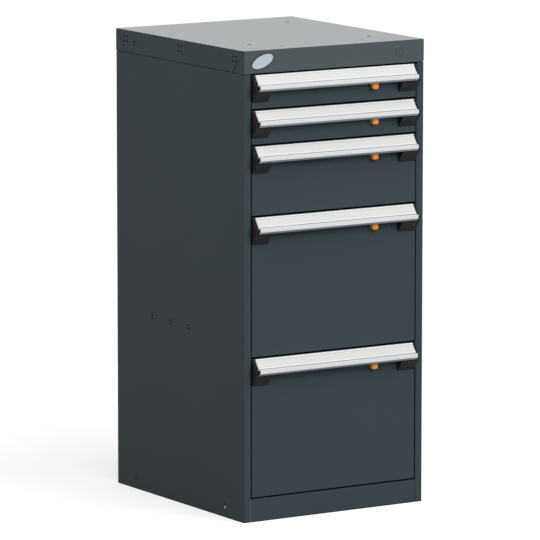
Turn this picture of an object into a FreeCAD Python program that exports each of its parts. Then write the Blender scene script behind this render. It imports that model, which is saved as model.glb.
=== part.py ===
import FreeCAD, Part
import os
import re

import Sketcher

# Modular drawer cabinet: a folded steel housing with five full-extension drawers.
# Lengths are in millimetres. +X is the right of the cabinet seen from the front, -Y is its
# front and +Z is up. The origin is on the floor, under the middle of the whole outline,
# handles included. Drawer 1 is the top one.

DRAWERS = 5

# Driving dimensions: name, value, what it measures.
SIZES = [
    ("cabinet_width", "457.2", "width over the lid"),
    ("cabinet_depth", "533.4", "depth over the lid"),
    ("base_height", "50.8", "floor to the underside of the lowest drawer's space"),
    ("head_height", "50.8", "top of the highest drawer's space to the top of the lid"),
    ("drawer_height_1", "76.2", "height of the top drawer's space"),
    ("drawer_height_2", "76.2", "height of the second drawer's space"),
    ("drawer_height_3", "152.4", "height of the third drawer's space"),
    ("drawer_height_4", "304.8", "height of the fourth drawer's space"),
    ("drawer_height_5", "304.8", "height of the lowest drawer's space"),
    ("sheet", "1.2", "steel of housing and drawers"),
    ("bend_radius", "1.5", "outside radius of the folded corners"),
    ("fit_gap", "0.3", "clearance between sheets that slip into each other"),
    ("lid_sheet", "1", "steel of the lid"),
    ("lid_overhang", "1.3", "lid outline in front of and behind the housing"),
    ("lid_skirt", "48.7", "height of the lid's skirt"),
    ("skirt_gap", "1.2", "open joint between the skirt and the side panels under it"),
    ("seam_drop", "2.5", "start of the front seams below the lid's corners"),
    ("seam_width", "1", "open seam between the folded skirt corners"),
    ("post_width", "18", "front face of a post"),
    ("post_return", "14", "fold of a post back into the housing"),
    ("rear_flange", "16", "fold of a side panel behind the back panel"),
    ("bottom_flange", "24", "down-turned edge of the bottom panel"),
    ("plinth_return", "36", "fold of the plinth over the bottom panel"),
    ("upright_sheet", "1.5", "steel of the slotted uprights"),
    ("upright_width", "40", "width of a slotted upright"),
    ("upright_setback", "16", "post face to the front uprights"),
    ("upright_end_gap", "20", "slide end to the rear uprights"),
    ("hook_slot_width", "3.5", "width of a slot in the uprights"),
    ("hook_slot_height", "12", "height of a slot in the uprights"),
    ("hook_slot_pitch", "25.4", "spacing of the slots in the uprights"),
    ("top_hole_radius", "5.5", "bolt hole in the lid"),
    ("top_hole_span_x", "304.8", "spacing of the bolt holes across the lid"),
    ("top_hole_span_y", "330.2", "spacing of the bolt holes along the lid"),
    ("pin_hole_radius", "3.2", "small hole near the lid's front edge"),
    ("pin_hole_span", "203.2", "spacing of the two small holes"),
    ("pin_hole_setback", "53", "lid's front edge to the small holes"),
    ("badge_length", "55", "width of the blank oval badge"),
    ("badge_height", "25", "height of the blank oval badge"),
    ("badge_sheet", "1.2", "thickness of the badge"),
    ("badge_tilt", "21.7", "tilt of the oval, its right end up, in degrees"),
    ("badge_inset", "45.7", "left edge of the lid to the middle of the badge"),
    ("badge_drop", "24", "top of the lid to the middle of the badge"),
    ("lock_radius", "9.5", "closed lock hole in the lid's front"),
    ("lock_half_flat", "7.8", "middle of the lock hole to its side flats"),
    ("lock_inset", "64", "right edge of the lid to the middle of the lock hole"),
    ("lock_drop", "25.4", "top of the lid to the middle of the lock hole"),
    ("score_width", "0.6", "width of the scored outline of a closed hole"),
    ("score_depth", "0.5", "depth of the scored outline of a closed hole"),
    ("nick_length", "5.2", "length of a slot that outlines a knock-out"),
    ("nick_height", "3.6", "height of a slot that outlines a knock-out"),
    ("square_nick_span_y", "12", "long spacing of the slots of a square knock-out"),
    ("square_nick_span_z", "10.6", "short spacing of the slots of a square knock-out"),
    ("round_nick_span", "7", "spacing of the slots of a round knock-out"),
    ("square_knock_rear", "43.4", "rear of the lid to the first square knock-out"),
    ("square_knock_middle", "270.6", "rear of the lid to the second square knock-out"),
    ("square_knock_front", "496", "rear of the lid to the third square knock-out"),
    ("square_knock_drop", "19.4", "top of the lid to the square knock-outs"),
    ("round_knock_drop", "26.3", "top of the lid to its round knock-out"),
    ("round_knock_rear", "80", "rear of the lid to the rear round knock-outs"),
    ("round_knock_front", "453.6", "rear of the lid to the front round knock-out"),
    ("round_knock_foot", "25.4", "floor to the low round knock-outs"),
    ("shelf_knock_rear", "152.4", "rear of the lid to the first high round knock-out"),
    ("shelf_knock_pitch", "76.2", "spacing of the high round knock-outs"),
    ("shelf_knock_height", "394.8", "floor to the high round knock-outs"),
    ("screw_margin", "0.02", "share of the back panel's height outside its end screws"),
    ("screw_head_radius", "3.6", "head of a back panel screw"),
    ("screw_head_height", "1", "height of that head"),
    ("screw_radius", "2", "shank of a back panel screw"),
    ("screw_length", "6", "length of that shank"),
    ("screw_play", "0.2", "clearance of a screw in its hole"),
    ("side_gap", "2", "post to drawer front"),
    ("front_gap_top", "1.9", "top of a drawer's space to its front"),
    ("front_gap_bottom", "2.2", "bottom of a drawer's space to its front"),
    ("front_depth", "15", "thickness of a drawer front"),
    ("front_lip", "16", "lip around the back of a drawer front, against the tray"),
    ("tray_depth", "480", "front to back of a drawer tray"),
    ("tray_gap_bottom", "6", "bottom of a drawer's space to its tray"),
    ("tray_gap_top", "14", "top of a drawer's space to its tray"),
    ("hem_height", "8", "folded hem at the top of a tray wall"),
    ("divider_slot_width", "2.6", "width of a divider slot in a tray wall"),
    ("divider_slot_pitch", "25.4", "spacing of the divider slots"),
    ("divider_slot_margin", "22", "end of a tray wall to its first divider slot"),
    ("divider_slot_foot", "10", "tray floor to the foot of a divider slot"),
    ("plug_radius", "6.2", "closed hole in a drawer front"),
    ("plug_offset", "152.4", "middle of the cabinet to that closed hole"),
    ("plug_drop", "47.1", "top of a drawer front to that closed hole"),
    ("slide_length", "457.2", "length of a slide member"),
    ("slide_height", "45.7", "height of a slide"),
    ("slide_thickness", "12.7", "thickness of a slide"),
    ("slide_sheet", "1.2", "steel of the slide members"),
    ("slide_play", "0.35", "running clearance between slide members"),
    ("slide_flange", "9", "flange of the outer slide member"),
    ("slide_setback", "18", "post face to the slides"),
    ("slide_axis_height", "33", "bottom of a drawer's space to the middle of its slides"),
    ("handle_depth", "23.8", "drawer front to the outside of the handle's lip"),
    ("handle_height", "34", "height of the handle extrusion"),
    ("handle_wall", "2", "wall of the handle extrusion"),
    ("handle_top", "2.2", "thickness of the handle at its top edge"),
    ("facet_depth", "16.2", "drawer front to the lower edge of the label facet"),
    ("facet_drop", "19.3", "top of the handle to the lower edge of the label facet"),
    ("ledge_step", "1.5", "label facet down to the ledge under it"),
    ("ledge_root", "1.2", "step back from the label facet to the ledge"),
    ("cell_rise", "0.5", "lower edge of the facet up to the closed cell's floor"),
    ("lip_height", "8.4", "straight front of the finger lip"),
    ("lip_run_in", "5.5", "run of the lip's sloped underside towards the drawer"),
    ("back_flange_height", "32.6", "flange of the handle on the drawer front"),
    ("label_margin", "3.5", "edge of the facet to the label channel"),
    ("label_depth", "1", "depth of the label channel"),
    ("label_sheet", "0.8", "thickness of the label strip"),
    ("label_play", "0.3", "clearance around the label strip"),
    ("cap_wall", "7.6", "end wall of a handle cap"),
    ("cap_height", "58.6", "height of a handle cap"),
    ("cap_depth", "18.6", "drawer front to the widest point of a handle cap"),
    ("cap_widest_drop", "33", "top of the handle to that widest point"),
    ("cap_top_gap", "0.6", "top of the handle down to the top of its cap"),
    ("cap_nose", "0.8", "step back of a cap's lower edge from its widest point"),
    ("foot_width_right", "45", "width of the right cap with its foot"),
    ("foot_width_left", "40", "width of the left cap with its foot"),
    ("foot_round", "1.2", "rounded outer edge of a cap"),
    ("latch_offset", "98.2", "middle of the cabinet to the latch tab"),
    ("latch_travel", "6", "stroke of the latch"),
    ("tab_width", "15", "width of the latch tab"),
    ("tab_depth", "12", "latch tab in front of the drawer front"),
    ("tab_top_drop", "34", "top of the handle to the top of the latch tab"),
    ("tab_bottom_drop", "47.4", "top of the handle to the bottom of the latch tab"),
    ("tab_round", "4", "rounded lower corners of the latch tab"),
    ("tab_edge_round", "2.2", "rounded front edges of the latch tab"),
    ("tab_play", "0.4", "clearance of the latch tab on the drawer front"),
    ("neck_width", "5", "width and height of the tab's neck"),
    ("neck_drop", "40.6", "top of the handle to the middle of the neck"),
    ("bar_setback", "5", "face of the drawer front to the latch bar"),
    ("bar_sheet", "2.4", "thickness of the latch bar"),
    ("bar_height", "16", "height of the latch bar"),
    ("bar_tail", "12", "latch bar on the far side of the tab's middle"),
    ("tongue_length", "10", "narrow end of the latch bar"),
    ("tongue_height", "8", "height of that narrow end"),
    ("tongue_play", "0.5", "clearance around the tongue"),
    ("strike_sheet", "1.5", "thickness of a latch strike"),
    ("strike_height", "26", "height of a latch strike"),
]
ALIASES = re.compile(r"\b(" + "|".join(name for name, _, _ in SIZES) + r")\b")

doc = FreeCAD.newDocument("ModularDrawerCabinet")
sizes = doc.addObject("Spreadsheet::Sheet", "Sizes")
for row, (alias, number, meaning) in enumerate(SIZES, start=1):
    sizes.set(f"A{row}", meaning)
    sizes.set(f"B{row}", number)
    sizes.setAlias(f"B{row}", alias)
doc.recompute()

nodes = []

# Places that several pieces share, as formulas over the sheet.
lid_front = "((handle_depth - lid_overhang - cabinet_depth) / 2)"
lid_rear = f"({lid_front} + cabinet_depth)"
case_front = f"({lid_front} + lid_overhang)"
case_rear = f"({lid_rear} - lid_overhang)"
case_half = "(cabinet_width / 2)"
inner_half = f"({case_half} - sheet)"
post_inner = f"({case_half} - post_width)"
front_half = f"({post_inner} - side_gap)"
handle_half = f"({front_half} - cap_wall)"
tray_half = f"({post_inner} - slide_thickness)"
drawer_heights = [f"drawer_height_{number}" for number in range(1, DRAWERS + 1)]
lid_top = "(base_height + " + " + ".join(drawer_heights) + " + head_height)"
lid_under = f"({lid_top} - lid_sheet)"
panel_top = f"({lid_top} - lid_skirt - skirt_gap)"
floor_top = "(base_height - sheet)"
back_face = f"({case_rear} - 2 * sheet)"
slide_front = f"({case_front} + slide_setback)"
bar_front = f"({case_front} + bar_setback)"


def space_bottom(number):
    """Height of the floor of a drawer's space."""
    return "(" + " + ".join(["base_height"] + drawer_heights[number:]) + ")"


def handle_top_height(number):
    """Height of a handle's top edge, which is the top of its drawer front."""
    return f"({space_bottom(number)} + drawer_height_{number} - front_gap_top)"


def expression(formula):
    """The formula with its size names turned into references to the sheet."""
    return ALIASES.sub(r"Sizes.\1", formula)


def value(formula):
    return float(sizes.evalExpression(expression(formula)))


def bind(item, **formulas):
    for name, formula in formulas.items():
        item.setExpression(name, expression(formula))


def place(item, x="0", y="0", z="0"):
    for axis, formula in (("x", x), ("y", y), ("z", z)):
        item.setExpression(f"Placement.Base.{axis}", expression(formula))


def node(label, item):
    item.Label = label
    nodes.append(item)
    return item


# Primitives and booleans.

def block(name, x, y, z):
    """Box between two limits on each axis, each limit a formula."""
    item = doc.addObject("Part::Box", name)
    bind(item, Length=f"({x[1]}) - ({x[0]})", Width=f"({y[1]}) - ({y[0]})", Height=f"({z[1]}) - ({z[0]})")
    place(item, x[0], y[0], z[0])
    return item


def rod(name, axis, radius, length, x, y, z):
    """Cylinder from a start point along an axis."""
    item = doc.addObject("Part::Cylinder", name)
    turn = FreeCAD.Rotation(FreeCAD.Vector(0, 0, 1), FreeCAD.Vector(*axis))
    item.Placement = FreeCAD.Placement(FreeCAD.Vector(), turn)
    bind(item, Radius=radius, Height=length)
    place(item, x, y, z)
    return item


def fuse(name, items):
    item = doc.addObject("Part::MultiFuse", name)
    item.Shapes = items
    return item


def cut(name, base, tools):
    item = doc.addObject("Part::Cut", name)
    item.Base = base
    item.Tool = tools[0] if len(tools) == 1 else fuse(name + "_tools", tools)
    return item


def common(name, first, second):
    item = doc.addObject("Part::Common", name)
    item.Base = first
    item.Tool = second
    return item


def group(name, items):
    """Separate solids that make one node."""
    item = doc.addObject("Part::Compound", name)
    item.Links = items
    return item


def mirrored(name, source):
    """Copy of a right-hand piece on the left."""
    item = doc.addObject("Part::Mirroring", name)
    item.Source = source
    item.Normal = FreeCAD.Vector(1, 0, 0)
    return item


def pair(label, source):
    return node(label, group(label, [source, mirrored(label + "_left", source)]))


# Bodies made from sketches.

def new_body(name, x="0", y="0", z="0"):
    item = doc.addObject("PartDesign::Body", name)
    place(item, x, y, z)
    return item


def origin_feature(body, role):
    return next(item for item in body.Origin.OriginFeatures if item.Role == role)


def sketch(body, plane, name, loops, offset="0"):
    """Sketch of closed outlines, each a list of corners whose coordinates are formulas."""
    item = body.newObject("Sketcher::SketchObject", f"{body.Name}_{name}")
    item.AttachmentSupport = (origin_feature(body, plane), [""])
    item.MapMode = "FlatFace"
    item.setExpression("AttachmentOffset.Base.z", expression(offset))
    for loop in loops:
        corners = [FreeCAD.Vector(value(x), value(y), 0) for x, y in loop]
        following = corners[1:] + corners[:1]
        lines = item.addGeometry([Part.LineSegment(a, b) for a, b in zip(corners, following)])
        joints = zip(lines, lines[1:] + lines[:1])
        item.addConstraint([Sketcher.Constraint("Coincident", a, 2, b, 1) for a, b in joints])
        for line, corner, formulas in zip(lines, corners, loop):
            for kind, number, formula in zip(("X", "Y"), corner, formulas):
                constraint = Sketcher.Constraint(f"Distance{kind}", -1, 1, line, 1, number)
                index = item.addConstraint(constraint)
                item.renameConstraint(index, f"corner_{kind}{line}")
                item.setExpression(f"Constraints.corner_{kind}{line}", expression(formula))
    return item


def pad(body, profile, length, backwards=False):
    item = body.newObject("PartDesign::Pad", profile.Name + "_pad")
    item.Profile = profile
    item.Reversed = backwards
    bind(item, Length=length)
    doc.recompute()
    return item


def pocket(body, profile, depth=None):
    """Cut of a given depth against the sketch's normal, or right through on both sides."""
    item = body.newObject("PartDesign::Pocket", profile.Name + "_pocket")
    item.Profile = profile
    if depth is None:
        item.Type = "ThroughAll"
        item.Midplane = True
    else:
        bind(item, Length=depth)
    before = body.Shape.Volume
    doc.recompute()
    if not body.Shape.Volume < before:
        raise ValueError(f"{item.Name} cuts nothing")
    return item


def repeat(body, feature, axis, pitch, count):
    """Row of copies of a feature along one of the body's axes."""
    item = body.newObject("PartDesign::LinearPattern", feature.Name + "_row")
    item.Originals = [feature]
    item.Direction = (origin_feature(body, axis), [""])
    bind(item, Length=f"{pitch} * ({count} - 1)", Occurrences=count)
    body.Tip = item
    return item


def fillet(body, feature, radius, chosen):
    """Rounds the straight edges of a feature whose end points pass a test."""
    doc.recompute()
    names = []
    for index, edge in enumerate(feature.Shape.Edges, start=1):
        if len(edge.Vertexes) == 2 and chosen(*[vertex.Point for vertex in edge.Vertexes]):
            names.append(f"Edge{index}")
    item = body.newObject("PartDesign::Fillet", feature.Name + "_round")
    item.Base = (feature, names)
    bind(item, Radius=radius)
    return item


def near(number, formula):
    return abs(number - value(formula)) < 1e-4


def rectangle(x, y):
    return [(x[0], y[0]), (x[1], y[0]), (x[1], y[1]), (x[0], y[1])]


# Knock-outs in the side sheets.

def nicks(name, side, y, z, spans):
    """Slots around a knock-out, right through a side sheet, at offsets from its middle."""
    x = (f"({side} * {case_half} - 2 * sheet)", f"({side} * {case_half} + 2 * sheet)")
    items = []
    for index, (along, up) in enumerate(spans):
        middle = (f"({y} + {along})", f"({z} + {up})")
        limits = [(f"({place} - {size} / 2)", f"({place} + {size} / 2)")
                  for place, size in zip(middle, ("nick_length", "nick_height"))]
        items.append(block(f"{name}_nick_{index}", x, limits[0], limits[1]))
    return items


SQUARE_NICKS = [(f"{a} * square_nick_span_y / 2", f"{b} * square_nick_span_z / 2")
                for a in (-1, 1) for b in (-1, 1)]
ROUND_NICKS = [("0", f"{b} * round_nick_span / 2") for b in (-1, 1)]


def side_panel(label, side):
    """Side sheet under the lid's skirt, folded into a post in front and a flange behind."""
    body = new_body(label + "_sheet")
    corners = [
        (case_half, case_front),
        (post_inner, case_front),
        (post_inner, f"{case_front} + post_return"),
        (f"{post_inner} + sheet", f"{case_front} + post_return"),
        (f"{post_inner} + sheet", f"{case_front} + sheet"),
        (inner_half, f"{case_front} + sheet"),
        (inner_half, f"{case_rear} - sheet"),
        (f"{case_half} - rear_flange", f"{case_rear} - sheet"),
        (f"{case_half} - rear_flange", case_rear),
        (case_half, case_rear),
    ]
    section = sketch(body, "XY_Plane", "section", [[(f"{side} * ({x})", y) for x, y in corners]])
    wall = pad(body, section, panel_top)
    edge_x = f"{side} * {case_half}"
    folds = ((edge_x, case_front), (edge_x, case_rear), (f"{side} * {post_inner}", case_front))

    def outer_corner(a, b):
        return abs(a.z - b.z) > 1 and any(near(a.x, x) and near(a.y, y) for x, y in folds)

    fillet(body, wall, "bend_radius", outer_corner)
    tools = []
    places = [(f"{lid_rear} - round_knock_{end}", "round_knock_foot") for end in ("rear", "front")]
    for step in range(3):
        places.append((f"{lid_rear} - shelf_knock_rear - {step} * shelf_knock_pitch",
                       "shelf_knock_height"))
    for index, (y, z) in enumerate(places):
        tools += nicks(f"{label}_{index}", side, y, z, ROUND_NICKS)
    for index, height in enumerate(screw_heights):
        tools.append(rod(f"{label}_hole_{index}", (0, -1, 0), "screw_radius + screw_play",
                         "2 * sheet", f"{side} * {screw_x}", f"{case_rear} + 0.5 * sheet", height))
    if side == 1:
        for number in range(1, DRAWERS + 1):
            tools.append(tongue_hole(f"{label}_latch_{number}", number,
                                     (f"{post_inner} - sheet", f"{post_inner} + 2 * sheet")))
    return node(label, cut(label, body, tools))


def latch_height(number):
    return f"({handle_top_height(number)} - neck_drop)"


def tongue_hole(name, number, x):
    """Clearance for the latch tongue through a sheet that stands across its way."""
    half = "(tongue_height / 2 + tongue_play)"
    return block(name, x, (f"({bar_front} - tongue_play)", f"({bar_front} + bar_sheet + tongue_play)"),
                 (f"({latch_height(number)} - {half})", f"({latch_height(number)} + {half})"))


screw_x = f"({case_half} - rear_flange / 2 - sheet / 2)"
screw_shares = [f"(screw_margin + {step} * (1 - 2 * screw_margin) / 3)" for step in range(4)]
screw_heights = [f"(base_height + {share} * ({lid_under} - lid_skirt - base_height))"
                 for share in screw_shares]


def lid():
    """Pan-shaped lid: a top sheet with three bolt holes and a skirt with open mitred seams."""
    body = new_body("lid_pan", y=lid_front, z=f"{lid_top} - lid_skirt")
    half = "cabinet_width / 2"
    outline = sketch(body, "XY_Plane", "outline",
                     [rectangle((f"-{half}", half), ("0", "cabinet_depth"))])
    outside = pad(body, outline, "lid_skirt")
    fillet(body, outside, "bend_radius",
           lambda a, b: abs(a.z - b.z) > 1 or (near(a.z, "lid_skirt") and near(b.z, "lid_skirt")))
    doc.recompute()
    inner = f"({half} - lid_sheet)"
    cavity = sketch(body, "XY_Plane", "cavity",
                    [rectangle((f"-{inner}", inner), ("lid_sheet", "cabinet_depth - lid_sheet"))],
                    offset="lid_skirt - lid_sheet")
    pocket(body, cavity, "lid_skirt - lid_sheet")
    tools = []
    for a in (-1, 1):
        for b in (-1, 1) if a > 0 else (-1,):
            tools.append(rod(f"lid_bolt_hole_{a}_{b}".replace("-", "m"), (0, 0, -1), "top_hole_radius",
                             "3 * lid_sheet", f"{a} * top_hole_span_x / 2",
                             f"{lid_front} + cabinet_depth / 2 + {b} * top_hole_span_y / 2",
                             f"{lid_top} + lid_sheet"))
        tools.append(rod(f"lid_pin_hole_{a}".replace("-", "m"), (0, 0, -1), "pin_hole_radius",
                         "3 * lid_sheet", f"{a} * pin_hole_span / 2",
                         f"{lid_front} + pin_hole_setback", f"{lid_top} + lid_sheet"))
        for spot in ("rear", "middle", "front"):
            tools += nicks(f"lid_{spot}_{a}".replace("-", "m"), a, f"{lid_rear} - square_knock_{spot}",
                           f"{lid_top} - square_knock_drop", SQUARE_NICKS)
        tools += nicks(f"lid_round_{a}".replace("-", "m"), a, f"{lid_rear} - round_knock_rear",
                       f"{lid_top} - round_knock_drop", ROUND_NICKS)
    for end, y, sign, drop in (("front", lid_front, 1, "seam_drop"), ("rear", lid_rear, -1, "0")):
        tools.append(mitre_seam(f"lid_seam_{end}", y, sign, drop))
    tools.append(lock_outline())
    return node("lid", cut("lid", body, tools))


def mitre_seam(name, y, sign, drop):
    """Slanted slit through both side skirts, from the bend at a corner to the skirt's foot."""
    body = new_body(name, x="-cabinet_width / 2 - lid_sheet", y=y, z=lid_top)
    start = "(0.75 * bend_radius)"
    width = "(1.414 * seam_width)"
    corners = [
        (f"{sign} * {start}", f"-{start} - {drop}"),
        (f"{sign} * ({start} + {width})", f"-{start} - {drop}"),
        (f"{sign} * (lid_skirt + lid_sheet - {drop} + {width})", "-lid_skirt - lid_sheet"),
        (f"{sign} * (lid_skirt + lid_sheet - {drop})", "-lid_skirt - lid_sheet"),
    ]
    profile = sketch(body, "YZ_Plane", "slit", [corners])
    pad(body, profile, "cabinet_width + 2 * lid_sheet")
    return body


def lock_outline():
    """Scored double-D outline of the closed lock hole."""
    x = "(cabinet_width / 2 - lock_inset)"
    z = f"({lid_top} - lock_drop)"
    y = f"({lid_front} + score_depth)"
    rings = []
    for name, shrink in (("outer", "0"), ("inner", "score_width")):
        radius = f"(lock_radius - {shrink})"
        flat = f"(lock_half_flat - {shrink})"
        disc = rod(f"lock_{name}_disc", (0, -1, 0), radius, "2 * score_depth", x, y, z)
        slab = block(f"lock_{name}_slab", (f"({x} - {flat})", f"({x} + {flat})"),
                     (f"({y} - 2 * score_depth)", y), (f"({z} - {radius})", f"({z} + {radius})"))
        rings.append(common(f"lock_{name}", disc, slab))
    return cut("lock_outline", rings[0], rings[1:])


def back_panel():
    """Flat sheet against the rear flanges of the side panels."""
    half = f"({inner_half} - fit_gap)"
    plate = block("back_panel_sheet", (f"-{half}", half), (back_face, f"({back_face} + sheet)"),
                  ("0", lid_under))
    holes = []
    for side in (-1, 1):
        for index, height in enumerate(screw_heights):
            holes.append(rod(f"back_hole_{index}_{side}".replace("-", "m"), (0, 1, 0),
                             "screw_radius + screw_play", "2 * sheet", f"{side} * {screw_x}",
                             f"{back_face} - 0.5 * sheet", height))
    return node("back_panel", cut("back_panel", plate, holes))


def housing_screws():
    """Pan-head screws through the rear flanges into the back panel."""
    screws = []
    for side in (-1, 1):
        for index, height in enumerate(screw_heights):
            name = f"screw_{index}_{side}".replace("-", "m")
            x = f"{side} * {screw_x}"
            head = rod(name + "_head", (0, 1, 0), "screw_head_radius", "screw_head_height",
                       x, case_rear, height)
            shank = rod(name + "_shank", (0, -1, 0), "screw_radius", "screw_length",
                        x, case_rear, height)
            screws.append(fuse(name, [head, shank]))
    return node("housing_screws", group("housing_screws", screws))


def bottom_panel():
    """Floor of the housing: a sheet with down-turned side flanges, clear of the posts."""
    body = new_body("bottom_panel", y=f"{case_front} + post_return + fit_gap")
    low = f"({floor_top} - sheet - bottom_flange)"
    under = f"({floor_top} - 2 * sheet)"
    top = f"({floor_top} - sheet)"
    inner = f"({inner_half} - sheet)"
    corners = [
        (f"-{inner_half}", low), (f"-{inner}", low), (f"-{inner}", under), (inner, under),
        (inner, low), (inner_half, low), (inner_half, top), (f"-{inner_half}", top),
    ]
    section = sketch(body, "XZ_Plane", "section", [corners])
    pad(body, section, f"{back_face} - {case_front} - post_return - fit_gap", backwards=True)
    return node("bottom_panel", body)


def plinth():
    """Strip between the posts, folded back over the front of the bottom panel."""
    half = f"({post_inner} - fit_gap)"
    body = new_body("plinth", x=f"-{half}", y=case_front)
    corners = [
        ("0", "0"), ("sheet", "0"), ("sheet", f"{floor_top} - sheet"),
        ("plinth_return", f"{floor_top} - sheet"), ("plinth_return", floor_top), ("0", floor_top),
    ]
    section = sketch(body, "YZ_Plane", "section", [corners])
    front = pad(body, section, f"2 * {half}")
    fillet(body, front, "sheet", lambda a, b: abs(a.x - b.x) > 1 and near(a.y, "0") and near(a.z, floor_top))
    return node("plinth", body)


def upright(name, side, y):
    """Channel with a row of hook slots, between the bottom panel and the lid."""
    low = f"({floor_top} - sheet)" if name.startswith("rear") else floor_top
    body = new_body(name, y=y, z=low)
    web = f"({post_inner} + upright_sheet)"
    corners = [
        (post_inner, "0"), (inner_half, "0"), (inner_half, "upright_sheet"),
        (web, "upright_sheet"), (web, "upright_width - upright_sheet"),
        (inner_half, "upright_width - upright_sheet"), (inner_half, "upright_width"),
        (post_inner, "upright_width"),
    ]
    section = sketch(body, "XY_Plane", "section", [[(f"{side} * ({a})", b) for a, b in corners]])
    height = f"({lid_under} - {low})"
    pad(body, section, height)
    middle = "upright_width / 2"
    slot = sketch(body, "YZ_Plane", "slot", [rectangle(
        (f"({middle} - hook_slot_width / 2)", f"({middle} + hook_slot_width / 2)"),
        ("hook_slot_pitch / 2", "hook_slot_pitch / 2 + hook_slot_height"))])
    first = pocket(body, slot)
    repeat(body, first, "Z_Axis", "hook_slot_pitch", f"floor({height} / hook_slot_pitch)")
    return body


def slide_uprights():
    front = f"({case_front} + upright_setback)"
    rear = f"({slide_front} + slide_length - upright_end_gap - upright_width)"
    channels = []
    for side, hand in ((-1, "left"), (1, "right")):
        channels.append(upright(f"front_upright_{hand}", side, front))
        channels.append(upright(f"rear_upright_{hand}", side, rear))
    return node("slide_uprights", group("slide_uprights", channels))


def latch_strikes():
    """Slotted plates inside the right post that take the latch tongues."""
    plates = []
    x = (f"({post_inner} + sheet)", f"({post_inner} + sheet + strike_sheet)")
    y = (f"({case_front} + sheet)", f"({case_front} + post_return)")
    for number in range(1, DRAWERS + 1):
        z = latch_height(number)
        plate = block(f"strike_plate_{number}", x, y,
                      (f"({z} - strike_height / 2)", f"({z} + strike_height / 2)"))
        hole = tongue_hole(f"strike_hole_{number}", number,
                           (f"({x[0]} - strike_sheet)", f"({x[1]} + strike_sheet)"))
        plates.append(cut(f"strike_{number}", plate, [hole]))
    return node("latch_strikes", group("latch_strikes", plates))


def badge():
    """Blank oval plate on the front of the lid."""
    oval = doc.addObject("Part::Ellipse", "badge_outline")
    bind(oval, MajorRadius="badge_length / 2", MinorRadius="badge_height / 2")
    place(oval, "badge_inset - cabinet_width / 2", lid_front, f"{lid_top} - badge_drop")
    upright = FreeCAD.Rotation(FreeCAD.Vector(1, 0, 0), 90)
    oval.Placement.Rotation = upright * FreeCAD.Rotation(FreeCAD.Vector(0, 0, 1), value("badge_tilt"))
    plate = doc.addObject("Part::Extrusion", "badge")
    plate.Base = oval
    plate.DirMode = "Custom"
    plate.Dir = FreeCAD.Vector(0, -1, 0)
    plate.Solid = True
    bind(plate, LengthFwd="badge_sheet")
    return node("badge", plate)


def drawer_front(number):
    """Folded front: a face, four edges and a lip around its open back."""
    bottom = f"({space_bottom(number)} + front_gap_bottom)"
    top = handle_top_height(number)
    name = f"drawer_front_{number}"
    outside = new_body(name + "_outside", y=case_front)
    face = sketch(outside, "XZ_Plane", "face", [rectangle((f"-{front_half}", front_half), (bottom, top))])
    block_of_front = pad(outside, face, "front_depth", backwards=True)
    fillet(outside, block_of_front, "bend_radius", lambda a, b: near(a.y, "0") and near(b.y, "0"))
    inner = f"({front_half} - sheet)"
    inside = block(name + "_inside", (f"-{inner}", inner),
                   (f"({case_front} + sheet)", f"({case_front} + front_depth - sheet)"),
                   (f"({bottom} + sheet)", f"({top} - sheet)"))
    clear = f"({front_half} - front_lip)"
    mouth = block(name + "_mouth", (f"-{clear}", clear),
                  (f"({case_front} + front_depth / 2)", f"({case_front} + 2 * front_depth)"),
                  (f"({bottom} + front_lip)", f"({top} - front_lip)"))
    z = latch_height(number)
    reach = "(neck_width / 2 + tab_play)"
    slot = block(name + "_latch_slot",
                 (f"(latch_offset - {reach})", f"(latch_offset + latch_travel + {reach})"),
                 (f"({case_front} - sheet)", f"({case_front} + 2 * sheet)"),
                 (f"({z} - {reach})", f"({z} + {reach})"))
    side_slot = tongue_hole(name + "_tongue_hole", number,
                            (f"({front_half} - 2 * sheet)", f"({front_half} + sheet)"))
    ring = [rod(f"{name}_plug_{kind}", (0, -1, 0), radius, "2 * score_depth", "plug_offset",
                f"({case_front} + score_depth)", f"({top} - plug_drop)")
            for kind, radius in (("outer", "plug_radius"), ("inner", "plug_radius - score_width"))]
    score = cut(name + "_plug", ring[0], ring[1:])
    return node(name, cut(name, outside, [inside, mouth, slot, side_slot, score]))


def drawer_tray(number):
    """Open tray with hemmed walls and rows of divider slots."""
    name = f"drawer_tray_{number}"
    body = new_body(name, y=f"{case_front} + front_depth",
                    z=f"{space_bottom(number)} + tray_gap_bottom")
    height = f"(drawer_height_{number} - tray_gap_bottom - tray_gap_top)"
    outline = sketch(body, "XY_Plane", "outline",
                     [rectangle((f"-{tray_half}", tray_half), ("0", "tray_depth"))])
    pad(body, outline, height)
    levels = [("mouth", "2 * sheet", height), ("inside", "sheet", f"({height} - hem_height)")]
    for kind, wall, level in levels:
        inner = f"({tray_half} - {wall})"
        hollow = sketch(body, "XY_Plane", kind,
                        [rectangle((f"-{inner}", inner), (wall, f"tray_depth - {wall}"))], offset=level)
        pocket(body, hollow, f"{level} - sheet")
    foot = "(sheet + divider_slot_foot)"
    head = f"({height} - 1.5 * hem_height)"
    half = "divider_slot_width / 2"
    start = "(divider_slot_margin + divider_slot_pitch / 2)"
    side_slot = sketch(body, "YZ_Plane", "side_slot",
                       [rectangle((f"({start} - {half})", f"({start} + {half})"), (foot, head))])
    first = pocket(body, side_slot)
    repeat(body, first, "Y_Axis", "divider_slot_pitch",
           "floor((tray_depth - 2 * divider_slot_margin) / divider_slot_pitch)")
    count = f"floor(2 * ({tray_half} - divider_slot_margin) / divider_slot_pitch)"
    left = f"(-divider_slot_pitch * ({count} - 1) / 2)"
    end_slot = sketch(body, "XZ_Plane", "end_slot",
                      [rectangle((f"({left} - {half})", f"({left} + {half})"), (foot, head))])
    first = pocket(body, end_slot)
    repeat(body, first, "X_Axis", "divider_slot_pitch", count)
    return node(name, body)


# Cross-sections of the three slide members. The first coordinate runs from the upright
# towards the drawer, the second one up from the middle of the slide.

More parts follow.
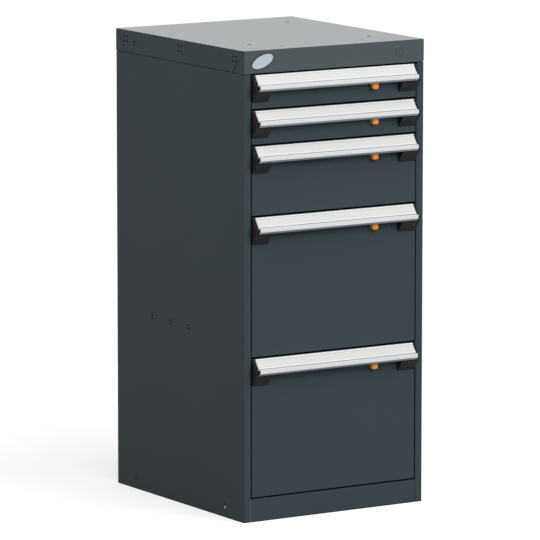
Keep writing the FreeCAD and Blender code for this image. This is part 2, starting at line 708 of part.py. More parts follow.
outer_half = "(slide_height / 2)"
middle_half = f"({outer_half} - slide_sheet - slide_play)"
inner_member_half = f"({middle_half} - slide_sheet - slide_play)"
web_front = "((slide_thickness - slide_sheet) / 2)"
web_back = "((slide_thickness + slide_sheet) / 2)"


def channel(start, end, half):
    """C section with its web at the first limit and its flanges reaching the second."""
    web = f"({start} + slide_sheet)" if start == "0" else f"({start} - slide_sheet)"
    return [
        (start, f"-{half}"), (end, f"-{half}"), (end, f"-{half} + slide_sheet"),
        (web, f"-{half} + slide_sheet"), (web, f"{half} - slide_sheet"),
        (end, f"{half} - slide_sheet"), (end, half), (start, half),
    ]


def h_section():
    """Middle member: two flanges joined by a web halfway."""
    near_side = "(slide_sheet + slide_play)"
    far_side = "(slide_thickness - slide_sheet - slide_play)"
    low = f"(-{middle_half} + slide_sheet)"
    high = f"({middle_half} - slide_sheet)"
    return [
        (near_side, f"-{middle_half}"), (far_side, f"-{middle_half}"), (far_side, low),
        (web_back, low), (web_back, high), (far_side, high), (far_side, middle_half),
        (near_side, middle_half), (near_side, high), (web_front, high), (web_front, low),
        (near_side, low),
    ]


def slide_member(label, number, section):
    """Right and left slide member of one kind for one drawer."""
    body = new_body(label + "_right", x=post_inner, y=slide_front,
                    z=f"{space_bottom(number)} + slide_axis_height")
    profile = sketch(body, "XZ_Plane", "section", [[(f"-({a})", b) for a, b in section]])
    pad(body, profile, "slide_length", backwards=True)
    return pair(label, body)


# The handle. Its profile is given as depth in front of the drawer front and drop from its
# top edge, and drawn with -Y as depth and -Z as drop.

facet_run = "(facet_depth - handle_top)"
facet_length = f"(sqrt({facet_run} * {facet_run} + facet_drop * facet_drop))"
ledge_drop = "(facet_drop + ledge_step)"
lip_drop = f"({ledge_drop} + lip_height)"


def facet_point(along, inset):
    """Point on the label facet, measured from its top edge and square into the metal."""
    depth = f"(handle_top + ({along} * {facet_run} - {inset} * facet_drop) / {facet_length})"
    drop = f"(({along} * facet_drop + {inset} * {facet_run}) / {facet_length})"
    return depth, drop


def profile_loop(points):
    return [(f"-({depth})", f"-({drop})") for depth, drop in points]


def handle(number):
    """Extrusion with a label facet, a closed cell behind it and a hooked finger lip."""
    name = f"handle_{number}"
    body = new_body(name, x=f"-{handle_half}", y=case_front, z=handle_top_height(number))
    channel_end = f"({facet_length} - label_margin)"
    lip_inside = "(handle_depth - handle_wall)"
    slant = "(handle_wall / sqrt(2))"
    corner = "(handle_wall * (sqrt(2) - 1))"
    outside = [
        ("0", "0"),
        ("handle_top", "0"),
        facet_point("label_margin", "0"),
        facet_point("label_margin", "label_depth"),
        facet_point(channel_end, "label_depth"),
        facet_point(channel_end, "0"),
        ("facet_depth", "facet_drop"),
        ("facet_depth - ledge_root", ledge_drop),
        ("handle_depth", ledge_drop),
        ("handle_depth", lip_drop),
        ("handle_depth - lip_run_in", "handle_height"),
        (f"handle_depth - lip_run_in - {slant}", f"handle_height - {slant}"),
        (lip_inside, f"{lip_drop} - {corner}"),
        (lip_inside, f"{ledge_drop} + handle_wall"),
        ("handle_wall", f"{ledge_drop} + handle_wall"),
        ("handle_wall", "back_flange_height"),
        ("0", "back_flange_height"),
    ]
    cell_floor = "(facet_drop - cell_rise)"
    slope = f"({facet_run} / facet_drop)"
    wall_depth = f"(handle_top - handle_wall * {facet_length} / facet_drop)"
    cell = [
        ("handle_wall", f"(handle_wall - {wall_depth}) / {slope}"),
        (f"{wall_depth} + {cell_floor} * {slope}", cell_floor),
        ("handle_wall", cell_floor),
    ]
    profile = sketch(body, "YZ_Plane", "profile", [profile_loop(outside), profile_loop(cell)])
    bar = pad(body, profile, f"2 * {handle_half}")

    def lies_at(points):
        corners = [(value(y), value(z)) for y, z in profile_loop(points)]

        def chosen(a, b):
            along = abs(a.x - b.x) > 1
            return along and any(abs(a.y - y) + abs(a.z - z) < 1e-3 for y, z in corners)
        return chosen

    nose = fillet(body, bar, "1.2 * handle_wall", lies_at([outside[9]]))
    fillet(body, nose, "handle_wall / 2", lies_at([outside[8], outside[6]]))
    return node(name, body)


def label_strip(number):
    """Card in the label channel of a handle."""
    name = f"label_strip_{number}"
    half = f"({handle_half} - 4 * label_play)"
    body = new_body(name, x=f"-{half}", y=case_front, z=handle_top_height(number))
    start = "(label_margin + label_play)"
    end = f"({facet_length} - label_margin - label_play)"
    face = "(label_depth - label_sheet)"
    corners = [
        facet_point(start, face), facet_point(end, face),
        facet_point(end, "label_depth"), facet_point(start, "label_depth"),
    ]
    profile = sketch(body, "YZ_Plane", "profile", [profile_loop(corners)])
    pad(body, profile, f"2 * {half}")
    return node(name, body)


def handle_cap(name, number, foot_width):
    """Right-hand end cap: an end wall, and a foot that plugs into the finger grip."""
    body = new_body(name, y=case_front, z=handle_top_height(number))
    widest = ("cap_depth", "cap_widest_drop")
    under = ("cap_depth - cap_nose", "handle_height + handle_wall")
    wall = [
        ("0", "cap_top_gap"), ("handle_top - fit_gap", "cap_top_gap"), widest, under,
        ("0", "cap_height"),
    ]
    plug_top = f"({ledge_drop} + handle_wall + fit_gap)"
    plug_front = "(handle_depth - 2.4 * handle_wall)"
    inner = "(handle_depth - lip_run_in - 1.4 * handle_wall)"
    foot = [
        ("0", "back_flange_height + fit_gap"),
        ("handle_wall + fit_gap", "back_flange_height + fit_gap"),
        ("handle_wall + fit_gap", plug_top),
        (plug_front, plug_top),
        (plug_front, f"{lip_drop} - handle_wall"),
        (inner, "handle_height - 1.4 * handle_wall"),
        (inner, "handle_height + 0.4 * handle_wall"),
        under,
        ("0", "cap_height"),
    ]
    wall_sketch = sketch(body, "YZ_Plane", "end_wall", [profile_loop(wall)], offset=handle_half)
    pad(body, wall_sketch, "cap_wall")
    foot_sketch = sketch(body, "YZ_Plane", "foot", [profile_loop(foot)],
                         offset=f"{front_half} - {foot_width}")
    whole = pad(body, foot_sketch, foot_width)

    def outer_edge(a, b):
        outside = near(a.x, front_half) and near(b.x, front_half)
        return outside and max(abs(a.y), abs(b.y)) > 1 and abs(a.z - b.z) > 3

    fillet(body, whole, "foot_round", outer_edge)
    return body


def handle_caps(number):
    label = f"handle_caps_{number}"
    right = handle_cap(label + "_right", number, "foot_width_right")
    left = handle_cap(label + "_left_unmirrored", number, "foot_width_left")
    return node(label, group(label, [right, mirrored(label + "_left", left)]))


def latch_tab(number):
    """Thumb tab under the handle's lip, with a neck through the drawer front."""
    name = f"latch_tab_{number}"
    body = new_body(name, x="latch_offset", y=case_front, z=handle_top_height(number))
    half = "tab_width / 2"
    face = sketch(body, "XZ_Plane", "face",
                  [rectangle((f"-{half}", half), ("-tab_bottom_drop", "-tab_top_drop"))],
                  offset="tab_play")
    tab = pad(body, face, "tab_depth - tab_play")
    foot = "-tab_bottom_drop"
    rounded = fillet(body, tab, "tab_round",
                     lambda a, b: abs(a.y - b.y) > 1 and near(a.z, foot) and near(b.z, foot))
    doc.recompute()
    fillet(body, rounded, "tab_edge_round",
           lambda a, b: near(a.y, "-tab_depth") and near(b.y, "-tab_depth"))
    neck_half = "neck_width / 2"
    neck = sketch(body, "XZ_Plane", "neck", [rectangle(
        (f"-{neck_half}", neck_half), (f"-neck_drop - {neck_half}", f"-neck_drop + {neck_half}"))],
        offset="tab_play")
    pad(body, neck, "bar_setback + tab_play", backwards=True)
    return node(name, body)


def latch_bar(number):
    """Bar behind the drawer front that carries the tab's push to its tongue."""
    name = f"latch_bar_{number}"
    body = new_body(name, y=bar_front, z=latch_height(number))
    tip = f"({front_half} - 2 * tongue_play + sheet / 4)"
    root = f"({tip} - tongue_length)"
    corners = [
        ("latch_offset - bar_tail", "-bar_height / 2"), (root, "-bar_height / 2"),
        (root, "-tongue_height / 2"), (tip, "-tongue_height / 2"), (tip, "tongue_height / 2"),
        (root, "tongue_height / 2"), (root, "bar_height / 2"),
        ("latch_offset - bar_tail", "bar_height / 2"),
    ]
    profile = sketch(body, "XZ_Plane", "profile", [corners])
    pad(body, profile, "bar_sheet", backwards=True)
    return node(name, body)


side_panel("side_panel_left", -1)
side_panel("side_panel_right", 1)
lid()
back_panel()
bottom_panel()
plinth()
slide_uprights()
latch_strikes()
housing_screws()
badge()
for drawer in range(1, DRAWERS + 1):
    drawer_tray(drawer)
    drawer_front(drawer)
    handle(drawer)
    handle_caps(drawer)
    label_strip(drawer)
    latch_tab(drawer)
    latch_bar(drawer)
    slide_member(f"slide_outer_{drawer}", drawer, channel("0", "slide_flange", outer_half))
    slide_member(f"slide_middle_{drawer}", drawer, h_section())
    slide_member(f"slide_inner_{drawer}", drawer,
                 channel("slide_thickness", f"({web_back} + slide_play)", inner_member_half))
doc.recompute()

failed = [item.Name for item in doc.Objects if {"Invalid", "Error"} & set(item.State)]
if failed:
    raise ValueError(f"objects that failed: {failed}")
os.makedirs("parts", exist_ok=True)
for item in nodes:
    if item.Shape.isNull() or not item.Shape.isValid():
        raise ValueError(f"{item.Label} has no valid shape")
    item.Shape.exportStep(f"parts/{item.Label}.step")
    print(item.Label, len(item.Shape.Solids), round(item.Shape.Volume))
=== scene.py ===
import math

import bmesh
import bpy
from mathutils import Matrix, Vector


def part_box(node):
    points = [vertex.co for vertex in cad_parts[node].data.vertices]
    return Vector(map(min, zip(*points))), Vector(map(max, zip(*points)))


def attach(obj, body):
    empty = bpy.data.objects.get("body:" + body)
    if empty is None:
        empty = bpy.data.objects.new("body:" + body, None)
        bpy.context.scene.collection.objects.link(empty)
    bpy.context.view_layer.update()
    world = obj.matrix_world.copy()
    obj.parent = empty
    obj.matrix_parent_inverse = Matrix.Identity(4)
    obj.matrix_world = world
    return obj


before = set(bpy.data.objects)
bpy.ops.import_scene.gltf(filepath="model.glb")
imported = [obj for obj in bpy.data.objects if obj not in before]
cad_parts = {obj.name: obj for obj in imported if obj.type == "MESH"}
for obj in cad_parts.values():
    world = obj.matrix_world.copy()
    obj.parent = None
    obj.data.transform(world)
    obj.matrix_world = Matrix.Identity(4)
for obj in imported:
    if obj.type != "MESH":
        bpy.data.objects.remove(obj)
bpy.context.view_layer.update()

bl_info = {
    "name": "Modular drawer cabinet",
    "version": (1, 0, 0),
    "blender": (4, 5, 0),
    "location": "3D View > Sidebar > Cabinet",
    "description": "Finishes, small parts and studio for the modular drawer cabinet",
    "category": "Object",
}

MM = 0.001
WHITE = (1.0, 1.0, 1.0)
BLACK = (0.0, 0.0, 0.0)
DRAWERS = range(1, 6)
PANELS = ("side_panel_left", "side_panel_right", "back_panel", "bottom_panel", "plinth")
lid_low, lid_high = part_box("lid")

# Rays that the nodes which find edges, and slits for the painted shade, send out from each point.
CORNER_RAYS = 8
# Edges of new pieces that turn by more than this stay crisp.
SHARP_ANGLE = math.radians(35.0)
BALL_RINGS = 8
BALL_SIDES = 12
SCREW_SIDES = 20
SCREWS_PER_MEMBER = 4
# Distance of the outer screws from the ends of a slide member, as a share of its length.
SCREW_INSET = 0.1
# Section of a pan head with a round socket, in shares of its radius and its height.
SCREW_HEAD = ((0, 0), (1, 0), (1, 0.5), (0.8, 1), (0.45, 1), (0.4, 0.3), (0, 0.3))

FLOOR_HALF_WIDTH = 60.0
KEY_LIGHT_AT = (0.25, -3.0, 3.0)
FRONT_LAMP_AT = (0.45, -1.75, 1.7)
SIDE_LAMP_AT = (-1.7, -0.3, 1.7)
LAMP_AIM_HEIGHT = 0.9
LAMP_WIDTH = 0.8
SENSOR_WIDTH = 36.0
FARTHEST_SEEN = 200.0


class Value:
    """A number or colour that varies over a surface; arithmetic on it adds nodes."""

    def __init__(self, nodes, socket):
        self.nodes = nodes
        self.socket = socket

    def __add__(self, other):
        return self.nodes.calculate("ADD", self, other)

    def __radd__(self, other):
        return self.nodes.calculate("ADD", other, self)

    def __sub__(self, other):
        return self.nodes.calculate("SUBTRACT", self, other)

    def __rsub__(self, other):
        return self.nodes.calculate("SUBTRACT", other, self)

    def __mul__(self, other):
        return self.nodes.calculate("MULTIPLY", self, other)

    def __rmul__(self, other):
        return self.nodes.calculate("MULTIPLY", other, self)


class Nodes:
    """The nodes around one shader, of a material or of the surroundings."""

    def __init__(self, tree, shader, **constants):
        self.tree = tree
        self.shader = tree.nodes[shader]
        for socket, constant in constants.items():
            self.shader.inputs[socket.replace("_", " ")].default_value = constant

    def node(self, kind, settings=None, inputs=None, output=0):
        """Adds a node: its settings first, then the values or links of its sockets."""
        item = self.tree.nodes.new(kind)
        for name, setting in (settings or {}).items():
            setattr(item, name, setting)
        for name, value in (inputs or {}).items():
            if isinstance(value, Value):
                self.tree.links.new(value.socket, item.inputs[name])
            else:
                item.inputs[name].default_value = value
        return Value(self, item.outputs[output])

    def feed(self, socket, value):
        self.tree.links.new(value.socket, self.shader.inputs[socket])

    def calculate(self, operation, first, second):
        return self.node("ShaderNodeMath", {"operation": operation}, {0: first, 1: second})

    def between(self, factor, low, high):
        """A number from low to high as a 0 to 1 factor rises."""
        return low + factor * (high - low)

    def graded(self, value, start, end):
        """0 to 1 as a number goes from start to end."""
        ends = {"Value": value, "From Min": start, "From Max": end}
        return self.node("ShaderNodeMapRange", None, ends, "Result")

    def seen(self):
        """1 for rays that the camera, a gloss or a glass sends out, 0 for light that spreads."""
        result = self.node("ShaderNodeLightPath", output="Is Camera Ray")
        for kind in ("Is Glossy Ray", "Is Transmission Ray"):
            other = self.node("ShaderNodeLightPath", output=kind)
            result = self.calculate("MAXIMUM", result, other)
        return result


class Finish(Nodes):
    """A material made of nodes around one Principled shader."""

    def __init__(self, name, **constants):
        self.material = bpy.data.materials.new(name)
        self.material.use_nodes = True
        super().__init__(self.material.node_tree, "Principled BSDF", **constants)

    def place(self):
        """Where a point lies in the cabinet's frame, in metres."""
        return self.node("ShaderNodeTexCoord", output="Object")

    def stretched(self, scale):
        """That place, stretched or squeezed along each axis."""
        return self.node("ShaderNodeMapping", None, {"Vector": self.place(), "Scale": scale})

    def noise(self, scale, detail=2.0, where=None):
        """Mottling from 0 to 1, with about as many patches in a metre as the scale says."""
        inputs = {"Vector": where or self.place(), "Scale": scale, "Detail": detail}
        return self.node("ShaderNodeTexNoise", {"noise_dimensions": "3D"}, inputs, output="Fac")

    def blend(self, factor, first, second):
        """Mix of two colours."""
        settings = {"data_type": "RGBA"}
        inputs = {"Factor": factor, 6: first, 7: second}
        return self.node("ShaderNodeMix", settings, inputs, output=2)

    def mottled(self, mottling, colour, low, high):
        """A colour that changes from a low to a high share of itself as the mottling rises."""
        return self.blend(mottling, shade(colour, low), shade(colour, high))

    def bump(self, height, depth, normal=None):
        """Normal that follows a 0 to 1 height of the depth given."""
        inputs = {"Height": height, "Distance": depth}
        if normal:
            inputs["Normal"] = normal
        return self.node("ShaderNodeBump", None, inputs)

    def rounded(self, radius):
        """Normal that is softened along edges, as a folded or moulded edge is."""
        return self.node("ShaderNodeBevel", {"samples": CORNER_RAYS}, {"Radius": radius})

    def painted_shade_openness(self, reach, darkest, brightest):
        """0 in slits and corners narrower than the reach, 1 on open faces; it masks where shade is
        painted into the colour.
        """
        settings = {"samples": CORNER_RAYS}
        open_share = self.node("ShaderNodeAmbientOcclusion", settings, {"Distance": reach}, "AO")
        return self.graded(open_share, darkest, brightest)

    def part(self, vector, axis):
        return self.node("ShaderNodeSeparateXYZ", None, {"Vector": vector}, axis)

    def facing(self, axis, start, end):
        """0 to 1 as a face turns along an axis, between two parts of its normal."""
        normal = self.node("ShaderNodeNewGeometry", output="Normal")
        return self.graded(self.part(normal, axis), start, end)

    def along(self, axis, start, end):
        """0 to 1 from one place to another along an axis."""
        return self.graded(self.part(self.place(), axis), start, end)


class Part:
    """New piece of mesh, built up from boxes and turned shapes in the cabinet's frame."""

    def __init__(self, name):
        self.name = name
        self.mesh = bmesh.new()

    def box(self, corner, opposite):
        corner, opposite = Vector(corner), Vector(opposite)
        size = Matrix.Diagonal([abs(length) for length in opposite - corner]).to_4x4()
        middle = Matrix.Translation((corner + opposite) / 2)
        bmesh.ops.create_cube(self.mesh, size=1.0, matrix=middle @ size)

    def turned(self, profile, foot, axis, sides):
        """Solid of revolution; its profile gives radius and height along the axis, pole to pole."""
        axis = Vector(axis).normalized()
        across = axis.orthogonal().normalized()
        angles = [2 * math.pi * step / sides for step in range(sides)]
        rings = []
        for radius, height in profile:
            centre = Vector(foot) + axis * height
            spots = [across * math.cos(angle) + axis.cross(across) * math.sin(angle)
                     for angle in angles]
            rings.append([self.mesh.verts.new(centre + spot * radius) for spot in spots]
                         if radius else [self.mesh.verts.new(centre)] * sides)
        for low, high in zip(rings, rings[1:]):
            for step in range(sides):
                following = (step + 1) % sides
                corners = [low[step], low[following], high[following], high[step]]
                self.mesh.faces.new(list(dict.fromkeys(corners)))

    def finish(self, material, body, slot):
        """Makes the piece's object, which moves with a body and takes the material; the slot
        argument is not used.
        """
        bmesh.ops.recalc_face_normals(self.mesh, faces=self.mesh.faces)
        data = bpy.data.meshes.new(self.name)
        self.mesh.to_mesh(data)
        self.mesh.free()
        data.shade_smooth()
        data.set_sharp_from_angle(angle=SHARP_ANGLE)
        data.materials.append(material)
        piece = bpy.data.objects.new(self.name, data)
        bpy.context.collection.objects.link(piece)
        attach(piece, body)


def shade(colour, factor):
    """A colour made lighter or darker, as the four numbers that a socket takes."""
    return (colour[0] * factor, colour[1] * factor, colour[2] * factor, 1.0)


def dress(names, finish):
    """Gives CAD nodes a material."""
    for name in names:
        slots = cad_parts[name].data.materials
        slots.clear()
        slots.append(finish.material)


def numbered(*kinds):
    """Names of the pieces of some kinds in all drawers."""
    return [f"{kind}_{number}" for kind in kinds for number in DRAWERS]


class CabinetPaint(bpy.types.PropertyGroup):
    colour: bpy.props.FloatVectorProperty(
        name="Colour", description="Powder coat of housing and drawers", subtype="COLOR",
        size=3, min=0.0, max=1.0, default=(0.054, 0.073, 0.082))
    # Painted light: a lighter colour for the lid's front faces, standing in for the light on them.
    lid_front_painted_light: bpy.props.FloatVectorProperty(
        name="Lid front", description="Powder coat on the front of the lid", subtype="COLOR",
        size=3, min=0.0, max=1.0, default=(0.088, 0.107, 0.118))
    worn_top: bpy.props.FloatProperty(
        name="Worn top", description="Weight of the gloss on the lid's top", default=0.53,
        min=0.0, max=1.0)
    gloss_tint: bpy.props.FloatVectorProperty(
        name="Gloss tint", description="Colour of the gloss on the lid's top", subtype="COLOR",
        size=4, min=0.0, max=1.0, default=(0.95, 0.99, 1.0, 1.0))
    roughness: bpy.props.FloatProperty(
        name="Roughness", description="Roughness of the powder coat", default=0.28,
        min=0.0, max=1.0)
    peel_size: bpy.props.FloatProperty(
        name="Orange peel", description="Width of the powder coat's texture",
        default=1.4 * MM, unit="LENGTH")
    peel_depth: bpy.props.FloatProperty(
        name="Orange peel depth", description="Height of that texture",
        default=0.02 * MM, unit="LENGTH")
    fold_radius: bpy.props.FloatProperty(
        name="Folds", description="Radius that the paint gives to the folded edges",
        default=0.8 * MM, unit="LENGTH")


class CabinetTrim(bpy.types.PropertyGroup):
    aluminium: bpy.props.FloatVectorProperty(
        name="Handles", description="Anodised aluminium of the handles", subtype="COLOR",
        size=3, min=0.0, max=1.0, default=(0.81, 0.82, 0.83))
    # Painted shade: colour for the root of the ledge under the label.
    painted_recess_shade: bpy.props.FloatVectorProperty(
        name="Handle recess", description="Root of the ledge under the label", subtype="COLOR",
        size=3, min=0.0, max=1.0, default=(0.26, 0.32, 0.42))
    underside: bpy.props.FloatVectorProperty(
        name="Handle underside", description="Shaded underside of the finger lip", subtype="COLOR",
        size=3, min=0.0, max=1.0, default=(0.38, 0.42, 0.48))
    label: bpy.props.FloatVectorProperty(
        name="Labels", description="Card of the label strips", subtype="COLOR",
        size=3, min=0.0, max=1.0, default=(0.735, 0.735, 0.725))
    plastic: bpy.props.FloatVectorProperty(
        name="Caps", description="Black plastic of the handle caps", subtype="COLOR",
        size=3, min=0.0, max=1.0, default=(0.0100, 0.0098, 0.0100))
    tab: bpy.props.FloatVectorProperty(
        name="Latch tabs", description="Orange plastic of the latch tabs", subtype="COLOR",
        size=3, min=0.0, max=1.0, default=(0.94, 0.37, 0.05))
    steel: bpy.props.FloatVectorProperty(
        name="Steel", description="Zinc plate of slides and uprights", subtype="COLOR",
        size=3, min=0.0, max=1.0, default=(0.42, 0.43, 0.45))
    badge: bpy.props.FloatVectorProperty(
        name="Badge", description="Blank badge on the lid", subtype="COLOR",
        size=3, min=0.0, max=1.0, default=(0.50, 0.56, 0.62))


class CabinetSlides(bpy.types.PropertyGroup):
    sheet: bpy.props.FloatProperty(
        name="Sheet", description="Steel of the slide members", default=1.2 * MM, unit="LENGTH")
    middle_web: bpy.props.FloatProperty(
        name="Middle web", description="Depth of the middle member's web behind its flanges",
        default=4.2 * MM, unit="LENGTH")
    inner_web: bpy.props.FloatProperty(
        name="Inner web", description="Depth of the inner member's web behind its flanges",
        default=4.2 * MM, unit="LENGTH")
    cage_sheet: bpy.props.FloatProperty(
        name="Cage sheet", description="Steel of the ball cages", default=0.6 * MM, unit="LENGTH")
    cage_margin: bpy.props.FloatProperty(
        name="Cage margin", description="End of a slide member to its ball cage",
        default=12.0 * MM, unit="LENGTH")
    ball_radius: bpy.props.FloatProperty(
        name="Ball", description="Radius of a ball", default=1.9 * MM, unit="LENGTH")
    ball_clearance: bpy.props.FloatProperty(
        name="Ball clearance", description="Gap between a ball and the web behind it",
        default=0.1 * MM, unit="LENGTH")
    ball_pitch: bpy.props.FloatProperty(
        name="Ball pitch", description="Least spacing of the balls",
        default=14.0 * MM, unit="LENGTH")
    screw_radius: bpy.props.FloatProperty(
        name="Screw head", description="Radius of a slide screw's head", default=3.4 * MM,
        unit="LENGTH")
    screw_height: bpy.props.FloatProperty(
        name="Screw head height", description="Height of a slide screw's head", default=1.4 * MM,
        unit="LENGTH")


class CabinetStage(bpy.types.PropertyGroup):
    azimuth: bpy.props.FloatProperty(
        name="Camera azimuth", description="Direction of the camera round the cabinet",
        default=math.radians(-32.1417), subtype="ANGLE")
    elevation: bpy.props.FloatProperty(
        name="Camera elevation", description="Height of the camera above the horizon",
        default=math.radians(8.8979), subtype="ANGLE")
    roll: bpy.props.FloatProperty(
        name="Camera roll", description="Turn of the camera about its line of sight",
        default=math.radians(0.023), subtype="ANGLE")
    position: bpy.props.FloatVectorProperty(
        name="Camera position", description="Place of the camera from under the lid's middle",
        size=3, default=(-6.14, -9.7783, 2.3024), unit="LENGTH")
    lens: bpy.props.FloatProperty(
        name="Lens", description="Focal length on a 36 mm sensor, in millimetres", default=355.71)
    floor_seen: bpy.props.FloatProperty(
        name="Floor seen", description="Brightness of the floor where it is seen or mirrored",
        default=0.6, min=0.0, max=1.0)
    floor_lift: bpy.props.FloatProperty(
        name="Floor lift", description="Brightness added to the floor where it is seen or mirrored",
        default=0.62)
    floor_bounce: bpy.props.FloatProperty(
        name="Floor bounce", description="Share of the light that the floor throws back",
        default=0.25, min=0.0, max=1.0)
    sky: bpy.props.FloatProperty(
        name="Fill light", description="Strength of the light from all round", default=0.36)
    key: bpy.props.FloatProperty(
        name="Key light", description="Strength of the soft key light", default=1.7)
    front_lamp: bpy.props.FloatProperty(
        name="Front lamp", description="Power of the lamp before the upper drawers",
        default=7.0, unit="POWER")
    side_lamp: bpy.props.FloatProperty(
        name="Side lamp", description="Power of the lamp beside the lid, on the left",
        default=7.0, unit="POWER")
    key_from: bpy.props.FloatVectorProperty(
        name="Key direction", description="Direction that the key light comes from", size=3,
        subtype="XYZ", default=(0.25, -0.72, 0.65))
    key_softness: bpy.props.FloatProperty(
        name="Key softness", description="Width of the key light seen from the cabinet",
        default=math.radians(70.0), subtype="ANGLE")


def painted(name, colour, paint, painted_light_front_colour=None, worn_top=0.0, painted_shade_reach=3 * MM):
    """Semi-gloss powder coat: fine orange peel, faint clouding and softly rounded folds.

    A top that is wiped often is glossier, by the weight given, and a front may be painted lighter,
    as painted light.
    Slits and holes narrower than the shade reach get painted shade: their colour is darkened
    inside."""
    finish = Finish(name, IOR=1.12, Coat_IOR=1.36, Coat_Roughness=0.12, Coat_Tint=paint.gloss_tint)
    clouds = finish.noise(5.0, detail=3.0)
    coat = finish.mottled(clouds, colour, 0.95, 1.05)
    # Painted light: faces that look to the front take the lighter front colour, which stands in for
    # the light on them.
    if painted_light_front_colour:
        painted_light_front_coat = finish.mottled(clouds, painted_light_front_colour, 0.95, 1.05)
        coat = finish.blend(finish.facing("Y", -0.7, -0.95), coat, painted_light_front_coat)
    # Painted shade: slits, holes and corners narrower than the reach are darkened towards this
    # colour.
    painted_slit_shade = shade(colour, 0.08)
    finish.feed("Base Color", finish.blend(finish.painted_shade_openness(painted_shade_reach, 0.6, 0.97), painted_slit_shade, coat))
    peel = finish.noise(1.0 / paint.peel_size, detail=1.0)
    smoothest, roughest = paint.roughness - 0.04, paint.roughness + 0.04
    finish.feed("Roughness", finish.between(peel, smoothest, roughest))
    folds = finish.rounded(paint.fold_radius)
    finish.feed("Normal", finish.bump(peel, paint.peel_depth, normal=folds))
    if worn_top:
        finish.feed("Coat Weight", finish.facing("Z", 0.8, 0.95) * worn_top)
    return finish


class CABINET_OT_housing(bpy.types.Operator):
    """Paint the lid, the panels, the plinth and the drawers"""
    bl_idname = "cabinet.housing"
    bl_label = "Paint housing and drawers"

    def execute(self, context):
        paint = context.scene.cabinet_paint
        body = painted("housing_powder_coat", paint.colour, paint)
        # The lid gets painted light on its front faces and painted shade in holes and slits within
        # a 10 mm reach.
        lid = painted("lid_powder_coat", paint.colour, paint, paint.lid_front_painted_light, paint.worn_top,
                      painted_shade_reach=10 * MM)
        drawers = painted("drawer_powder_coat", paint.colour, paint)
        dress(PANELS, body)
        dress(["lid"], lid)
        dress(numbered("drawer_tray", "drawer_front"), drawers)
        return {"FINISHED"}


class CABINET_OT_handles(bpy.types.Operator):
    """Finish the handle extrusions, their labels and their end caps"""
    bl_idname = "cabinet.handles"
    bl_label = "Finish handles"

    def execute(self, context):
        trim = context.scene.cabinet_trim
        dress(numbered("handle"), self.anodised(trim))
        dress(numbered("label_strip"), self.card(trim))
        dress(numbered("handle_caps"), self.moulded(trim))
        return {"FINISHED"}

    @staticmethod
    def anodised(trim):
        """Aluminium with fine lines along it, with painted shade in the inner corner of its ledge
        and on its underside.
        """
        metal = Finish("anodised_aluminium", Metallic=0.12)
        lines = metal.noise(900.0, where=metal.stretched((0.02, 1.0, 1.0)))
        colour = metal.mottled(lines, trim.aluminium, 0.97, 1.03)
        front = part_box("drawer_front_1")[0].y
        # Painted shade: the flat ledge under the label takes the recess shade colour where it is
        # closed in.
        ledge = metal.facing("Z", 0.9, 0.98) * metal.along("Y", front - 8 * MM, front - 12 * MM)
        painted_ledge_shade = ledge * (1.0 - metal.painted_shade_openness(3 * MM, 0.2, 0.8))
        colour = metal.blend(painted_ledge_shade, colour, shade(trim.painted_recess_shade, 1.0))
        # Painted shade: faces turned downwards take the darker underside colour.
        under = metal.facing("Z", -0.25, -0.65)
        metal.feed("Base Color", metal.blend(under, colour, shade(trim.underside, 1.0)))
        metal.feed("Roughness", metal.between(lines, 0.36, 0.46))
        metal.feed("Normal", metal.bump(lines, 0.01 * MM, normal=metal.rounded(0.4 * MM)))
        return metal

    @staticmethod
    def card(trim):
        card = Finish("label_card", Specular_IOR_Level=0.3)
        fibre = card.noise(1500.0, detail=3.0)
        card.feed("Base Color", card.mottled(fibre, trim.label, 0.98, 1.02))
        card.feed("Roughness", card.between(fibre, 0.5, 0.62))
        card.feed("Normal", card.bump(fibre, 0.004 * MM))
        return card

    @staticmethod
    def moulded(trim):
        plastic = Finish("black_moulded_plastic", IOR=1.3)
        grain = plastic.noise(1400.0)
        plastic.feed("Base Color", plastic.mottled(grain, trim.plastic, 0.9, 1.15))
        plastic.feed("Roughness", plastic.between(grain, 0.55, 0.7))
        plastic.feed("Normal", plastic.bump(grain, 0.02 * MM, normal=plastic.rounded(0.5 * MM)))
        return plastic


class CABINET_OT_latches(bpy.types.Operator):
    """Finish the latch tabs"""
    bl_idname = "cabinet.latches"
    bl_label = "Finish latch tabs"

    def execute(self, context):
        trim = context.scene.cabinet_trim
        orange = Finish("orange_moulded_plastic")
        grain = orange.noise(1600.0)
        orange.feed("Base Color", orange.mottled(grain, trim.tab, 0.96, 1.04))
        orange.feed("Roughness", orange.between(grain, 0.34, 0.44))
        orange.feed("Normal", orange.bump(grain, 0.008 * MM))
        dress(numbered("latch_tab"), orange)
        return {"FINISHED"}


class CABINET_OT_steelwork(bpy.types.Operator):
    """Finish the slides, the uprights, the latch bars, the strikes, the screws and the badge"""
    bl_idname = "cabinet.steelwork"
    bl_label = "Finish steelwork and badge"

    def execute(self, context):
        trim = context.scene.cabinet_trim
        zinc = Finish("zinc_plated_steel", Metallic=1.0)
        spangle = zinc.noise(60.0, detail=4.0)
        zinc.feed("Base Color", zinc.mottled(spangle, trim.steel, 0.88, 1.1))
        zinc.feed("Roughness", zinc.between(spangle, 0.28, 0.42))
        zinc.feed("Normal", zinc.bump(zinc.noise(700.0), 0.006 * MM))
        dress(numbered("slide_outer", "slide_middle", "slide_inner", "latch_bar"), zinc)
        dress(["slide_uprights", "latch_strikes", "housing_screws"], zinc)

        plate = Finish("badge_metal", Metallic=0.6)
        brushed = plate.noise(1200.0, where=plate.stretched((0.05, 1.0, 1.0)))
        plate.feed("Base Color", plate.mottled(brushed, trim.badge, 0.95, 1.05))
        plate.feed("Roughness", plate.between(brushed, 0.3, 0.4))
        plate.feed("Normal", plate.bump(brushed, 0.005 * MM, normal=plate.rounded(0.4 * MM)))
        dress(["badge"], plate)
        return {"FINISHED"}


